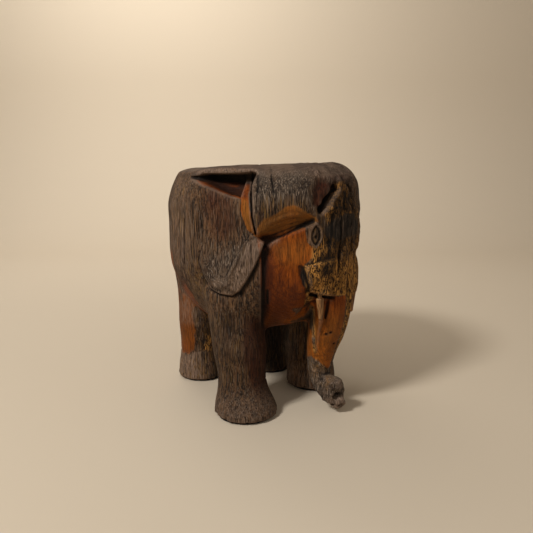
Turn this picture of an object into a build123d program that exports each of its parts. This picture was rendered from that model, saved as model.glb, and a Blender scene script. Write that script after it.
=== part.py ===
from build123d import *

import os
from math import cos, radians, sin, sqrt

# A stool carved from one upright log as a walking elephant. Its flat back is the seat.
# Millimetres. +X is forward, +Y is the elephant's left, +Z is up. The origin is on the floor under the
# middle of the log.

# --- The log and the seat ---
SEAT_HEIGHT = 420.0  # crown of the seat's rim above the floor
LOG_LENGTH = 390.0  # rump to brow
LOG_WIDTH = 320.0  # flank to flank
RIM_ROUND = 50.0  # rounding of the seat's edge
SADDLE_DIP = 9.0  # how far the seat sinks below its crown
SADDLE_X = -70.0  # lowest place of the seat
SADDLE_REACH = 185.0  # from the lowest place to the crown
BELLY_HEIGHT = 0.33 * SEAT_HEIGHT  # underside of the belly above the floor
BELLY_TOP = 0.66 * SEAT_HEIGHT  # where the belly's curve meets the upright side
BELLY_FLAT = 0.37  # flat middle of the belly, as a share of the log's half length
SEAT_ROOM = 10.0  # the saddle's cut is this much wider than the log on each side

# The carving follows its log. The tables of places further down are written for a log of this size
# and are stretched with the log, one factor for each direction.
TABLE_LENGTH = 390.0
TABLE_WIDTH = 320.0
TABLE_HEIGHT = 420.0
ALONG = LOG_LENGTH / TABLE_LENGTH
ACROSS = LOG_WIDTH / TABLE_WIDTH
UP = SEAT_HEIGHT / TABLE_HEIGHT
GIRTH = min(ALONG, ACROSS)  # for what is round: legs and trunk

# --- Head ---
HEAD_TURN = 10.0  # degrees that the head turns to the elephant's left
BROW_ANGLE = -21.0  # place of the right brow's middle round the log
BROW_HEIGHT = 0.75 * SEAT_HEIGHT  # crease under the brow, at its middle
BROW_SLOPE = 20.0  # degrees that the crease climbs towards the trunk
BROW_DEPTH = 15.0
BROW_OVERHANG = 38.0  # height of the sloping underside of the brow
BROW_LENGTH = 96.0
BROW_RUN_OUT = 10.0  # the brow's cut runs out this far past the bark
CHEEK_DEPTH = 12.0  # how far the cheek lies behind the brow
CHEEK_RADIUS = 80.0  # sweep of the gouge that hollowed it
CHEEK_LENGTH = 110.0
TEMPLE_SLOT_WIDTH = 6.0
TEMPLE_SLOT_LENGTH = 54.0
TEMPLE_SLOT_DEPTH = 13.0
TEMPLE_SLOT_TILT = 50.0
TEMPLE_SLOT_MIDDLE = (-31.5, 364.0)  # left of the head's middle, height
EYE_HEIGHT = 0.738 * SEAT_HEIGHT
EYE_SUNK = 4.5  # middle of the eye under the log's surface
EYE_ANGLE = -8.2
EYE_LENGTH = 30.0
EYE_WIDTH = 13.0

# --- Ears ---
EAR_ANGLE = -57.0  # place of the right ear's middle round the log
EAR_DISH = 10.2  # the ear's flat face lies this far behind the log's surface at its middle
EAR_TURN = 8.3  # degrees that the face turns so as to run out flush at its rear edge
EAR_LOBE_TAPER = 0.05  # share of the log's size that the ear leans in at its lobe
EAR_ROOT_DEPTH = 60.0
EAR_LOW = 0.476 * SEAT_HEIGHT  # the log's leaning oval is taken between these two heights
EAR_HIGH = 0.905 * SEAT_HEIGHT
EAR_PROUD = -1.0  # the ear's top against the log's surface
HOLLOW_DEPTH = 46.0  # hollow between the ear's top and the seat
# Outline of the ear against the log's side: forward of its middle, height above the floor.
EAR_REAR = [(-66, 372), (-51, 338), (-44, 298), (-43, 258)]
EAR_LOBE = [(-43, 258), (-24, 231), (-2, 218), (16, 214), (34, 219), (47, 240)]
EAR_FRONT = [(47, 240), (79, 301), (62, 316), (46, 340), (46, 372)]
DISH_EDGE = [(-36, 290), (-60, 340), (-72, 392), (46, 368), (47, 340), (60, 316), (50, 303), (20, 240)]
DISH_LOBE = [(20, 240), (0, 233), (-22, 250), (-36, 290)]
HOLLOW_OUTLINE = [(-60, 399), (57, 402), (43, 356), (-3, 375)]  # at the bark
HOLLOW_ROOT = [(-34, 400), (50, 403), (50, 397), (0, 395)]  # where the hollow is deepest
HOLLOW_CLEAR = 10.0
CLEAR = 30.0  # how far a cut runs out past the bark

# --- Trunk and tusks, in the head's own directions ---
TRUNK_SWAY = 8.0  # the trunk hangs this far left of the head's middle
NOSTRIL_DEPTH = 14.0
NOSTRIL_WIDTH = 14.0
NOSTRIL_HEIGHT = 20.0
SHEATH_BASE = 0.502 * SEAT_HEIGHT  # underside of the sheath that the tusk comes out of
TUSK_RADIUS = 6.3
TUSK_TIP_RADIUS = 4.0
TUSK_LENGTH = 38.0
TUSK_FORWARD = 175.0
TUSK_TOP_OFFSET = 42.0  # tusk axis to trunk axis at the shoulder
TUSK_TIP_OFFSET = 38.0
TENON_RADIUS = 3.6
TENON_LENGTH = 14.0
SHOULDER_GAP = 4.0  # from the sheath's underside to the tusk's shoulder
GLUE_FIT = 0.1

# --- Feet ---
PAD_THICKNESS = 4.0
PAD_INSET = 2.5
PAD_INSET_HIDDEN = 7.0  # the front left pad sits further under its sole
SOLE_ROUND = 3.0  # the sole is this much narrower than the foot's widest place
FOOT_WIDEST = 12.0  # height of the foot's widest place above the floor
ANKLE_HEIGHT = 0.138 * SEAT_HEIGHT
SHIN_HEIGHT = 0.238 * SEAT_HEIGHT
THIGH_HEIGHT = 0.338 * SEAT_HEIGHT
HIP_HEIGHT = 0.44 * SEAT_HEIGHT
LEG_ROOT_HEIGHT = 0.555 * SEAT_HEIGHT

# --- Tail ---
TAIL_RADIUS = 9.0
TUFT_RADIUS = 12.0

HALF_LENGTH = LOG_LENGTH / 2
HALF_WIDTH = LOG_WIDTH / 2
OVAL = LOG_WIDTH / LOG_LENGTH


def log_point(angle):
    """Point of the log's oval outline, seen from above, at an angle from +X."""
    across, along = sin(radians(angle)), cos(radians(angle))
    reach = 1 / sqrt((along / HALF_LENGTH) ** 2 + (across / HALF_WIDTH) ** 2)
    return Vector(reach * along, reach * across, 0)


def bark_plane(angle, depth=0.0):
    """Plane against the log's side. Its x runs forward along the right flank and its y is the height."""
    point = log_point(angle)
    outward = Vector(point.X / HALF_LENGTH**2, point.Y / HALF_WIDTH**2, 0).normalized()
    along = Vector(0, 0, 1).cross(outward)
    return Plane(origin=point - outward * depth, x_dir=along, z_dir=outward)


HEAD_FORWARD = Vector(cos(radians(HEAD_TURN)), sin(radians(HEAD_TURN)), 0)
HEAD_LEFT = Vector(-sin(radians(HEAD_TURN)), cos(radians(HEAD_TURN)), 0)
face_reach = log_point(HEAD_TURN).length


def head_angle(angle, side):
    """A place round the log on the right of the head, side 1, or its match on the left, side -1."""
    return HEAD_TURN + side * (angle - HEAD_TURN)


def head_point(forward, left, height):
    """A place of the tables in the head's own directions, stretched with the log, at a real height."""
    return HEAD_FORWARD * (forward * ALONG) + HEAD_LEFT * (left * ACROSS) + Vector(0, 0, height)


def on_bark(outline, side):
    """An outline of the tables against the right flank, or turned over for the left one."""
    return [(forward * side * ALONG, height * UP) for forward, height in outline]


def head_plane(height):
    """Level plane whose x is the way the head looks and whose y is the head's left."""
    return Plane(origin=(0, 0, height), x_dir=HEAD_FORWARD, z_dir=(0, 0, 1))


# The barrel: the log's oval, rounded at the seat and drawn in below to the belly.
with BuildPart() as barrel:
    with BuildSketch(Plane.XZ):
        with BuildLine():
            belly_flat = HALF_LENGTH * BELLY_FLAT
            Line((0, BELLY_HEIGHT), (belly_flat, BELLY_HEIGHT))
            EllipticalCenterArc(
                (belly_flat, BELLY_TOP), HALF_LENGTH - belly_flat, BELLY_TOP - BELLY_HEIGHT, 270, arc_size=90
            )
            Line((HALF_LENGTH, BELLY_TOP), (HALF_LENGTH, SEAT_HEIGHT - RIM_ROUND))
            CenterArc((HALF_LENGTH - RIM_ROUND, SEAT_HEIGHT - RIM_ROUND), RIM_ROUND, 0, 90)
            Line((HALF_LENGTH - RIM_ROUND, SEAT_HEIGHT), (0, SEAT_HEIGHT))
            Line((0, SEAT_HEIGHT), (0, BELLY_HEIGHT))
        make_face()
    revolve(axis=Axis.Z)
    scale(by=(1, OVAL, 1))


def build_ear(side):
    """An ear: a flap that keeps to the log's side where the belly draws in behind it."""
    with BuildPart() as ear:
        with BuildSketch(bark_plane(head_angle(EAR_ANGLE, side))):
            with BuildLine():
                rear = Spline(*on_bark(EAR_REAR, side))
                Spline(*on_bark(EAR_LOBE, side))
                front = Polyline(*on_bark(EAR_FRONT, side))
                Line(rear @ 0, front @ 1)
            make_face()
        extrude(amount=EAR_ROOT_DEPTH, both=True)
        with BuildSketch(Plane.XY.offset(EAR_LOW), mode=Mode.PRIVATE) as lobe_oval:
            Ellipse(HALF_LENGTH * (1 - EAR_LOBE_TAPER), HALF_WIDTH * (1 - EAR_LOBE_TAPER))
        with BuildSketch(Plane.XY.offset(EAR_HIGH), mode=Mode.PRIVATE) as upper_oval:
            Ellipse(HALF_LENGTH + EAR_PROUD, HALF_WIDTH + EAR_PROUD)
        loft([lobe_oval.sketch, upper_oval.sketch], mode=Mode.INTERSECT)
    return ear.part


# The trunk: round sections along a line that drops from the face and curls forward at the tip.
TRUNK_LINE = [  # forward of the log's middle, height, radius
    (146, 335, 45),
    (150, 300, 43),
    (152, 270, 42.5),
    (156, 240, 38.5),
    (161, 200, 33),
    (157, 160, 31),
    (149, 125, 28),
    (142, 95, 24),
    (139, 70, 20),
    (144, 50, 17.5),
    (157, 38, 17.5),
    (172, 38, 19),
    (184, 42, 20),
]


def trunk_point(station):
    forward, height, _ = TRUNK_LINE[station]
    return head_point(forward, TRUNK_SWAY, height * UP)


def trunk_plane(station):
    """Plane across the trunk, square to the line between its neighbours."""
    before = trunk_point(max(station - 1, 0))
    after = trunk_point(min(station + 1, len(TRUNK_LINE) - 1))
    return Plane(origin=trunk_point(station), x_dir=HEAD_LEFT, z_dir=after - before)


with BuildPart() as trunk:
    for station, (_, _, radius) in enumerate(TRUNK_LINE):
        with BuildSketch(trunk_plane(station)):
            Circle(radius * GIRTH)
    loft()

# The right sheath: the swelling at the trunk's root that holds the tusk.
SHEATH_LINE = [  # height, forward, left of the head's middle, half length, half width
    (SHEATH_BASE / UP, 160, -26, 28, 18),
    (240, 157, -28, 30, 20),
    (258, 154, -28, 29, 19),
    (278, 140, -24, 20, 14),
]
with BuildPart() as sheath_right:
    for height, forward, left, half_length, half_width in SHEATH_LINE:
        with BuildSketch(head_plane(height * UP)):
            with Locations((forward * ALONG, left * ACROSS)):
                Ellipse(half_length * GIRTH, half_width * GIRTH)
    loft()

# The throat: the underside of the log rises towards the face, and the tusks hang clear in front of it.
THROAT_LINE = [(40, 134), (90, 144), (125, 157), (148, 180), (164, 207), (190, 246)]  # forward, height
THROAT_WIDTH = 150.0
with BuildPart() as throat_cut:
    with BuildSketch(Plane(origin=(0, 0, 0), x_dir=HEAD_FORWARD, z_dir=-HEAD_LEFT)):
        with BuildLine():
            front_x = (THROAT_LINE[-1][0] + CLEAR) * ALONG
            back_x = THROAT_LINE[0][0] * ALONG
            rise = Spline(*[(forward * ALONG, height * UP) for forward, height in THROAT_LINE])
            Polyline(rise @ 1, (front_x, THROAT_LINE[-1][1] * UP), (front_x, 0), (back_x, 0), rise @ 0)
        make_face()
    extrude(amount=THROAT_WIDTH / 2, both=True)

# The legs: round, waisted at the ankle and flared at the foot.
LEG_LINES = {  # forward, left and radius at the foot, ankle, shin, thigh and hip, and at the root
    "front_right": (
        (92, -91, 52), (83, -92, 41), (78, -92, 44),
        (73, -95, 45.5), (69, -98, 47), (66, -99, 44),
    ),
    "front_left": (
        (46, 84, 46), (45, 85, 41.5), (44, 87, 43),
        (43, 91, 44), (43, 95, 45), (42, 97, 44),
    ),
    "rear_right": (
        (-115, -67, 45), (-114, -68, 41), (-112, -70, 41.5),
        (-108, -72, 41.5), (-105, -74, 42), (-102, -74, 44),
    ),
    "rear_left": (
        (-76, 72, 45), (-77, 73, 41), (-78, 75, 42),
        (-80, 78, 42.5), (-82, 81, 43.5), (-84, 83, 45),
    ),
}
SECTION_HEIGHTS = (FOOT_WIDEST, ANKLE_HEIGHT, SHIN_HEIGHT, THIGH_HEIGHT, HIP_HEIGHT, LEG_ROOT_HEIGHT)


def build_leg(line):
    forward, left, radius = line[0]
    sections = [(PAD_THICKNESS, forward, left, radius - SOLE_ROUND)]
    sections += [(height, *section) for height, section in zip(SECTION_HEIGHTS, line)]
    with BuildPart() as leg:
        for height, forward, left, radius in sections:
            with BuildSketch(Plane.XY.offset(height)):
                with Locations((forward * ALONG, left * ACROSS)):
                    Circle(radius * GIRTH)
        loft()
    return leg.part


# The tail: a relief that hangs down the rump and ends in a tuft.
TAIL_LINE = [  # height, depth of its middle under the rump's surface, radius
    (330, 18, TAIL_RADIUS),
    (285, 13, TAIL_RADIUS),
    (250, 9.5, TAIL_RADIUS),
    (215, -1, TAIL_RADIUS),
    (190, -2, TUFT_RADIUS),
    (170, -2, TUFT_RADIUS - 2),
    (156, -1, TUFT_RADIUS / 2),
]


def barrel_reach(height):
    """Distance from the log's middle to the rump at a height."""
    drop = min(1.0, max(0.0, (BELLY_TOP - height) / (BELLY_TOP - BELLY_HEIGHT)))
    return HALF_LENGTH * (BELLY_FLAT + (1 - BELLY_FLAT) * sqrt(1 - drop**2))


with BuildPart() as tail:
    for height, sunk, radius in TAIL_LINE:
        with BuildSketch(Plane.XY.offset(height * UP)):
            with Locations((sunk - barrel_reach(height * UP), 0)):
                Circle(radius)
    loft()


def widened(root, outline):
    """The hollow's outline where its sloping sides have run out past the bark."""
    run = 1 + HOLLOW_CLEAR / HOLLOW_DEPTH
    return [
        (x0 + (x1 - x0) * run, z0 + (z1 - z0) * run) for (x0, z0), (x1, z1) in zip(root, outline)
    ]


def cut_ear(side):
    """The hollow between the ear's top and the seat, and the dished face of the ear."""
    angle = head_angle(EAR_ANGLE, side)
    with BuildPart() as ear_cut:
        with BuildSketch(bark_plane(angle, HOLLOW_DEPTH)):
            Polygon(*on_bark(HOLLOW_ROOT, side), align=None)
        with BuildSketch(bark_plane(angle, -HOLLOW_CLEAR)):
            Polygon(*on_bark(widened(HOLLOW_ROOT, HOLLOW_OUTLINE), side), align=None)
        loft()
        with BuildSketch(bark_plane(angle, EAR_DISH).rotated((0, 0, side * EAR_TURN))):
            with BuildLine():
                Polyline(*on_bark(DISH_EDGE, side))
                Spline(*on_bark(DISH_LOBE, side))
            make_face()
        extrude(amount=EAR_DISH + CLEAR)
    return ear_cut.part


def cut_face(side):
    """The sloping underside of the brow, the cheek scooped out below it and the slot at the temple."""
    brow = bark_plane(head_angle(BROW_ANGLE, side))
    brow_middle = brow.origin + Vector(0, 0, BROW_HEIGHT)
    crease = brow.x_dir * side * cos(radians(BROW_SLOPE)) + Vector(0, 0, sin(radians(BROW_SLOPE)))
    with BuildPart() as face_cut:
        with BuildSketch(Plane(origin=brow_middle, x_dir=brow.z_dir, z_dir=crease * side)):
            Polygon((-BROW_DEPTH, 0), (BROW_RUN_OUT, -side * BROW_OVERHANG), (BROW_RUN_OUT, 0), align=None)
        extrude(amount=BROW_LENGTH / 2, both=True)
        with BuildSketch(Plane(origin=brow_middle, x_dir=brow.z_dir, z_dir=brow.z_dir.cross(crease) * -side)):
            with Locations((CHEEK_RADIUS - CHEEK_DEPTH, 0)):
                Circle(CHEEK_RADIUS)
        extrude(amount=CHEEK_LENGTH)
        with BuildSketch(Plane(origin=HEAD_FORWARD * face_reach, x_dir=HEAD_LEFT, z_dir=HEAD_FORWARD)):
            with Locations((TEMPLE_SLOT_MIDDLE[0] * side * ACROSS, TEMPLE_SLOT_MIDDLE[1] * UP)):
                SlotOverall(TEMPLE_SLOT_LENGTH, TEMPLE_SLOT_WIDTH, rotation=TEMPLE_SLOT_TILT * side)
        extrude(amount=TEMPLE_SLOT_DEPTH, both=True)
    return face_cut.part


def build_eye(side):
    """An upright almond that stands a little proud."""
    eye = bark_plane(head_angle(EYE_ANGLE, side), EYE_SUNK)
    eye_middle = eye.origin + Vector(0, 0, EYE_HEIGHT)
    with BuildPart() as eyeball:
        with BuildSketch(Plane(origin=eye_middle, x_dir=eye.z_dir, z_dir=-eye.x_dir)):
            Ellipse(EYE_WIDTH / 2, EYE_LENGTH / 2)
            with Locations((-EYE_WIDTH, 0)):
                Rectangle(2 * EYE_WIDTH, 2 * EYE_LENGTH, mode=Mode.SUBTRACT)
        revolve(axis=Axis(eye_middle, (0, 0, 1)))
    return eyeball.part


# The tusk and its socket: a tapered peg with a tenon, on an axis that follows the trunk.
SNOUT_MIDDLE = Plane(origin=head_point(0, TRUNK_SWAY, 0), x_dir=HEAD_FORWARD, z_dir=-HEAD_LEFT)


def tusk_place(offset, height):
    return head_point(TUSK_FORWARD, TRUNK_SWAY - offset, height)


shoulder_height = SHEATH_BASE - SHOULDER_GAP
shoulder = tusk_place(TUSK_TOP_OFFSET, shoulder_height)
tusk_axis = tusk_place(TUSK_TIP_OFFSET, shoulder_height - TUSK_LENGTH) - shoulder
tusk_plane = Plane(origin=shoulder, x_dir=HEAD_FORWARD, z_dir=tusk_axis)
tusk_side = Plane(origin=shoulder, x_dir=tusk_plane.x_dir, z_dir=tusk_plane.y_dir)
with BuildPart() as tusk_right:
    with BuildSketch(tusk_side):
        with BuildLine():
            Line((0, TENON_LENGTH), (TENON_RADIUS, TENON_LENGTH))
            Line((TENON_RADIUS, TENON_LENGTH), (TENON_RADIUS, 0))
            CenterArc((TENON_RADIUS, TENON_RADIUS - TUSK_RADIUS), TUSK_RADIUS - TENON_RADIUS, 90, -90)
            Line((TUSK_RADIUS, TENON_RADIUS - TUSK_RADIUS), (TUSK_TIP_RADIUS, TUSK_TIP_RADIUS - TUSK_LENGTH))
            CenterArc((0, TUSK_TIP_RADIUS - TUSK_LENGTH), TUSK_TIP_RADIUS, 0, -90)
            Line((0, -TUSK_LENGTH), (0, TENON_LENGTH))
        make_face()
    revolve(axis=Axis(shoulder, tusk_axis))
with BuildPart() as socket_right:
    with BuildSketch(tusk_plane.offset(-TENON_LENGTH - GLUE_FIT)):
        Circle(TENON_RADIUS + GLUE_FIT)
    extrude(amount=TENON_LENGTH - SHOULDER_GAP / 2)

# The carved log: everything above in one piece of wood.
legs = [build_leg(line) for line in LEG_LINES.values()]
ears = [build_ear(1), build_ear(-1)]
eyes = [build_eye(1), build_eye(-1)]
cuts = [cut_ear(1), cut_ear(-1), cut_face(1), cut_face(-1), throat_cut.part]
sheaths = [sheath_right.part, mirror(sheath_right.part, about=SNOUT_MIDDLE)]
sockets = [socket_right.part, mirror(socket_right.part, about=SNOUT_MIDDLE)]

saddle_radius = (SADDLE_REACH**2 + SADDLE_DIP**2) / (2 * SADDLE_DIP)
with BuildPart() as carved_log:
    add(barrel.part)
    add(ears)
    add(cuts, mode=Mode.SUBTRACT)
    add(legs)
    add(trunk.part)
    add(sheaths)
    add(eyes)
    add(tail.part)
    add(sockets, mode=Mode.SUBTRACT)
    with BuildSketch(Plane.XZ):
        with Locations((SADDLE_X, SEAT_HEIGHT - SADDLE_DIP + saddle_radius)):
            Circle(saddle_radius)
    extrude(amount=HALF_WIDTH + SEAT_ROOM, both=True, mode=Mode.SUBTRACT)
    with BuildSketch(trunk_plane(len(TRUNK_LINE) - 1)):
        Ellipse(NOSTRIL_WIDTH / 2, NOSTRIL_HEIGHT / 2)
    extrude(amount=-NOSTRIL_DEPTH, mode=Mode.SUBTRACT)

carved_log.part.label = "carved_log"
tusk_right.part.label = "tusk_right"
tusk_left = mirror(tusk_right.part, about=SNOUT_MIDDLE)
tusk_left.label = "tusk_left"

os.makedirs("parts", exist_ok=True)
export_step(carved_log.part, "parts/carved_log.step")
export_step(tusk_right.part, "parts/tusk_right.step")
export_step(tusk_left, "parts/tusk_left.step")

# The pads under the soles.
for name, (foot, *_) in LEG_LINES.items():
    inset = PAD_INSET_HIDDEN if name == "front_left" else PAD_INSET
    with BuildPart() as foot_pad:
        with BuildSketch():
            with Locations((foot[0] * ALONG, foot[1] * ACROSS)):
                Circle((foot[2] - SOLE_ROUND) * GIRTH - inset)
        extrude(amount=PAD_THICKNESS)
    foot_pad.part.label = f"foot_pad_{name}"
    export_step(foot_pad.part, f"parts/foot_pad_{name}.step")
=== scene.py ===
"""The looks of a stool carved from one upright log as a walking elephant.

The carving works in millimetres on a block of signed distances: each cut, ridge and grain line moves
the wood's surface, and the block is then turned into a mesh. Blender's objects are in metres.
"""

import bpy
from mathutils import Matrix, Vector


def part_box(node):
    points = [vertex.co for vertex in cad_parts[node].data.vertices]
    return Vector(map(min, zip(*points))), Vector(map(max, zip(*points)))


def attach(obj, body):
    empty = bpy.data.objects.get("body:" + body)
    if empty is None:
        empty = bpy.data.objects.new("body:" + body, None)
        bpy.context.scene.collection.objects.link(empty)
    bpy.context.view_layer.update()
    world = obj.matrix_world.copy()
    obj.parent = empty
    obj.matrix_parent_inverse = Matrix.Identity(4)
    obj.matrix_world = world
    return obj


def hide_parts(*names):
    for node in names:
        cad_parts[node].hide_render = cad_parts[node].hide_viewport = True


bl_info = {
    "name": "Carved Elephant Stool",
    "version": (1, 0, 0),
    "blender": (4, 5, 0),
    "location": "3D View > Sidebar > Elephant Stool",
    "description": "Carves, weathers and stages a stool cut from one log",
    "category": "Object",
}

from functools import partial
from itertools import product
from math import cos, pi, radians, sin

import bpy
import numpy as np
import openvdb
from mathutils import Vector

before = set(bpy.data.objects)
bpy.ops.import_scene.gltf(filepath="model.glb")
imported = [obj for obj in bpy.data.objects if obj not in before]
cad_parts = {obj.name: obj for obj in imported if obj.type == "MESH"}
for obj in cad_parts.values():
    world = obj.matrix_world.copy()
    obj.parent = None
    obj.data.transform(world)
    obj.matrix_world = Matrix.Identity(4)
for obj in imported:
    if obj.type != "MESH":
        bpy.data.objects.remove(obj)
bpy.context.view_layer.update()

MM = 0.001
LOG_LOW, LOG_HIGH = (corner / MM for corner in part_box("carved_log"))
HALF_LENGTH = (LOG_HIGH.x - LOG_LOW.x) / 2
HALF_WIDTH = (LOG_HIGH.y - LOG_LOW.y) / 2
SEAT_HEIGHT = LOG_HIGH.z

HEAD_TURN = 10.0  # degrees that the head turns to the elephant's left
TRUNK_SWAY = 8.0  # the trunk hangs this far left of the head's middle
BAND = 16.0  # distances are known this far each side of the surface
MARGIN = 6.0  # room round the log for what the carving adds
TRIANGLES = 190000
LATTICE = 64  # cells along each side of the noise before it repeats
LUMPS = {  # size along x, y and z, and seed
    "hand": ((60, 60, 80), 1),
    "gouge": ((24, 24, 34), 2),
    "grain": ((6, 6, 60), 3),
    "bark": ((6, 6, 13), 5),
    "temple": ((7, 7, 12), 6),
    "chips": ((7, 7, 9), 11),
    "small chips": ((3.5, 3.5, 5), 12),
    "lip": ((6, 6, 6), 21),
    "wrinkles": ((16, 16, 14), 22),
    "ankle": ((9, 9, 14), 31),
}


# --- Where things are on the log ---
def oval_lengths():
    """Distance round the log's oval from the head's middle, for angles from it of -180 to 180 degrees."""
    angles = np.linspace(-180, 180, 3601)
    turned = np.radians(angles + HEAD_TURN)
    reach = 1 / np.hypot(np.cos(turned) / HALF_LENGTH, np.sin(turned) / HALF_WIDTH)
    x, y = reach * np.cos(turned), reach * np.sin(turned)
    steps = np.hypot(np.diff(x), np.diff(y))
    lengths = np.concatenate([[0], np.cumsum(steps)])
    return angles, lengths - lengths[len(angles) // 2]


OVAL_ANGLES, OVAL_LENGTHS = oval_lengths()
ROUND = float(OVAL_LENGTHS[-1])  # half the way round the log


class Places:
    """Points of the wood with where they lie on the log, as arrays in millimetres."""

    def __init__(self, points):
        self.x, self.y, self.z = (points[:, axis].astype(np.float32) for axis in range(3))
        angle = np.degrees(np.arctan2(self.y, self.x)) - HEAD_TURN
        angle = (angle + 180) % 360 - 180
        # Positive along the elephant's right side.
        self.along = -np.interp(angle, OVAL_ANGLES, OVAL_LENGTHS).astype(np.float32)
        self.share = np.hypot(self.x / HALF_LENGTH, self.y / HALF_WIDTH)  # 1 at the bark
        slope = np.hypot(self.x / HALF_LENGTH**2, self.y / HALF_WIDTH**2) / np.maximum(self.share, 0.1)
        self.depth = (1 - self.share) / np.maximum(slope, 0.001)  # below the bark
        turn = radians(HEAD_TURN)
        self.forward = self.x * cos(turn) + self.y * sin(turn)
        self.left = self.y * cos(turn) - self.x * sin(turn) - TRUNK_SWAY

    def distance_to(self, points):
        """Distance to a line through (forward, left, height) points, and the share of the way along."""
        here = np.stack([self.forward, self.left, self.z], axis=1)
        return line_distance(here, np.array(points, np.float32))

    def rod(self, points, radius, thinner=0):
        """Signed distance to a rod along a line, thinner at its end by an amount."""
        gap, share = self.distance_to(points)
        return gap - radius + thinner * share


def fade(value, start, end):
    """0 at the start, 1 at the end and smooth between. The end may be the lower one."""
    share = np.clip((value - start) / (end - start), 0, 1)
    return share * share * (3 - 2 * share)


def bump(value, middle, width):
    """1 at the middle, falling smoothly to 0 at about twice the width from it."""
    return np.exp(-(((value - middle) / width) ** 2))


def line_distance(here, points):
    """Distance from each row of here to a line through the points, and the share of the way along it."""
    lengths = np.linalg.norm(np.diff(points, axis=0), axis=1)
    starts = np.concatenate([[0], np.cumsum(lengths)])
    nearest = np.full(here.shape[:-1], np.inf, np.float32)
    share = np.zeros(here.shape[:-1], np.float32)
    for index, length in enumerate(lengths):
        step = (points[index + 1] - points[index]) / length
        way = np.clip((here - points[index]) @ step, 0, length)
        gap = np.linalg.norm(here - points[index] - way[..., None] * step, axis=-1)
        closer = gap < nearest
        nearest[closer] = gap[closer]
        share[closer] = (starts[index] + way[closer]) / starts[-1]
    return nearest, share


def between_corners(field, corners, shares):
    """A field between its cells: each place has a lower corner and a share of the way to the next."""
    total = np.zeros(len(shares[0]), np.float32)
    for step in product((0, 1), repeat=3):
        weight = 1.0
        for share, upper in zip(shares, step):
            weight = weight * (share if upper else 1 - share)
        cell = tuple((corner + upper) % size for corner, upper, size in zip(corners, step, field.shape))
        total += weight * field[cell]
    return total


def lumps(places, name):
    """Smooth noise from -1 to 1."""
    size, seed = LUMPS[name]
    lattice = np.random.default_rng(seed).uniform(-1, 1, (LATTICE,) * 3).astype(np.float32)
    # Whole lattices are added so that the cells' numbers start above 0.
    scaled = [value / length + 4 * LATTICE for value, length in zip((places.x, places.y, places.z), size)]
    corners = [np.floor(value).astype(np.int32) for value in scaled]
    shares = [value - corner for value, corner in zip(scaled, corners)]
    return between_corners(lattice, corners, [share * share * (3 - 2 * share) for share in shares])


class Sheet:
    """A flat map on which cuts and tones are drawn, in millimetres."""

    def __init__(self, low, high):
        self.low = low
        across = np.arange(low[0], high[0] + 1, 1.0, dtype=np.float32)
        up = np.arange(low[1], high[1] + 1, 1.0, dtype=np.float32)
        self.here = np.stack(np.meshgrid(across, up, indexing="ij"), axis=-1)
        self.value = np.zeros(self.here.shape[:2], np.float32)

    def window(self, points, margin):
        """The part of the map within a margin of some points."""
        low = np.maximum(np.floor(points.min(axis=0) - margin - self.low), 0).astype(int)
        high = np.maximum(np.ceil(points.max(axis=0) + margin - self.low), 0).astype(int) + 1
        return slice(low[0], high[0]), slice(low[1], high[1])

    def stroke(self, points, width, amount, taper=0.15):
        """A groove along a line, tapering at its ends."""
        points = np.array(points, np.float32)
        window = self.window(points, 3 * width)
        gap, share = line_distance(self.here[window], points)
        ends = fade(np.minimum(share, 1 - share), -0.01, taper)
        self.value[window] += amount * ends * np.exp(-((gap / width) ** 2))

    def inside(self, outline, edge):
        """1 inside an outline and 0 outside, softened over the edge's width."""
        points = np.array(outline, np.float32)
        window = self.window(points, edge)
        here = self.here[window]
        closed = np.concatenate([points, points[:1]])
        gap, _ = line_distance(here, closed)
        odd = np.zeros(gap.shape, bool)
        for (x0, y0), (x1, y1) in zip(closed[:-1], closed[1:]):
            if y0 == y1:
                continue
            across = x0 + (here[..., 1] - y0) * (x1 - x0) / (y1 - y0)
            between = (here[..., 1] > min(y0, y1)) & (here[..., 1] <= max(y0, y1))
            odd ^= between & (here[..., 0] < across)
        result = np.zeros_like(self.value)
        result[window] = fade(np.where(odd, gap, -gap), -edge, edge)
        return result

    def patch(self, outline, edge, amount):
        """An outline filled evenly."""
        self.value += amount * self.inside(outline, edge)

    def draw(self, marks, turn=list):
        """Strokes and patches: kind, points, width of the stroke or the edge, amount and any taper."""
        for kind, points, *amounts in marks:
            getattr(self, kind)(turn(points), *amounts)

    def at(self, across, up):
        """The map's value at places, between its cells."""
        x = np.clip(across - self.low[0], 0, self.value.shape[0] - 1.001)
        y = np.clip(up - self.low[1], 0, self.value.shape[1] - 1.001)
        i, j = x.astype(np.int32), y.astype(np.int32)
        x, y = x - i, y - j
        lower = self.value[i, j] * (1 - x) + self.value[i + 1, j] * x
        upper = self.value[i, j + 1] * (1 - x) + self.value[i + 1, j + 1] * x
        return (lower * (1 - y) + upper * y).astype(np.float32)


def side_sheet():
    """The log's side unrolled: distance round it from the face, positive on the right, and height."""
    return Sheet((-ROUND, 0.0), (ROUND, SEAT_HEIGHT))


def mirrored(line):
    """A line's match on the left side."""
    return [(-along, height) for along, height in line]


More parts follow.
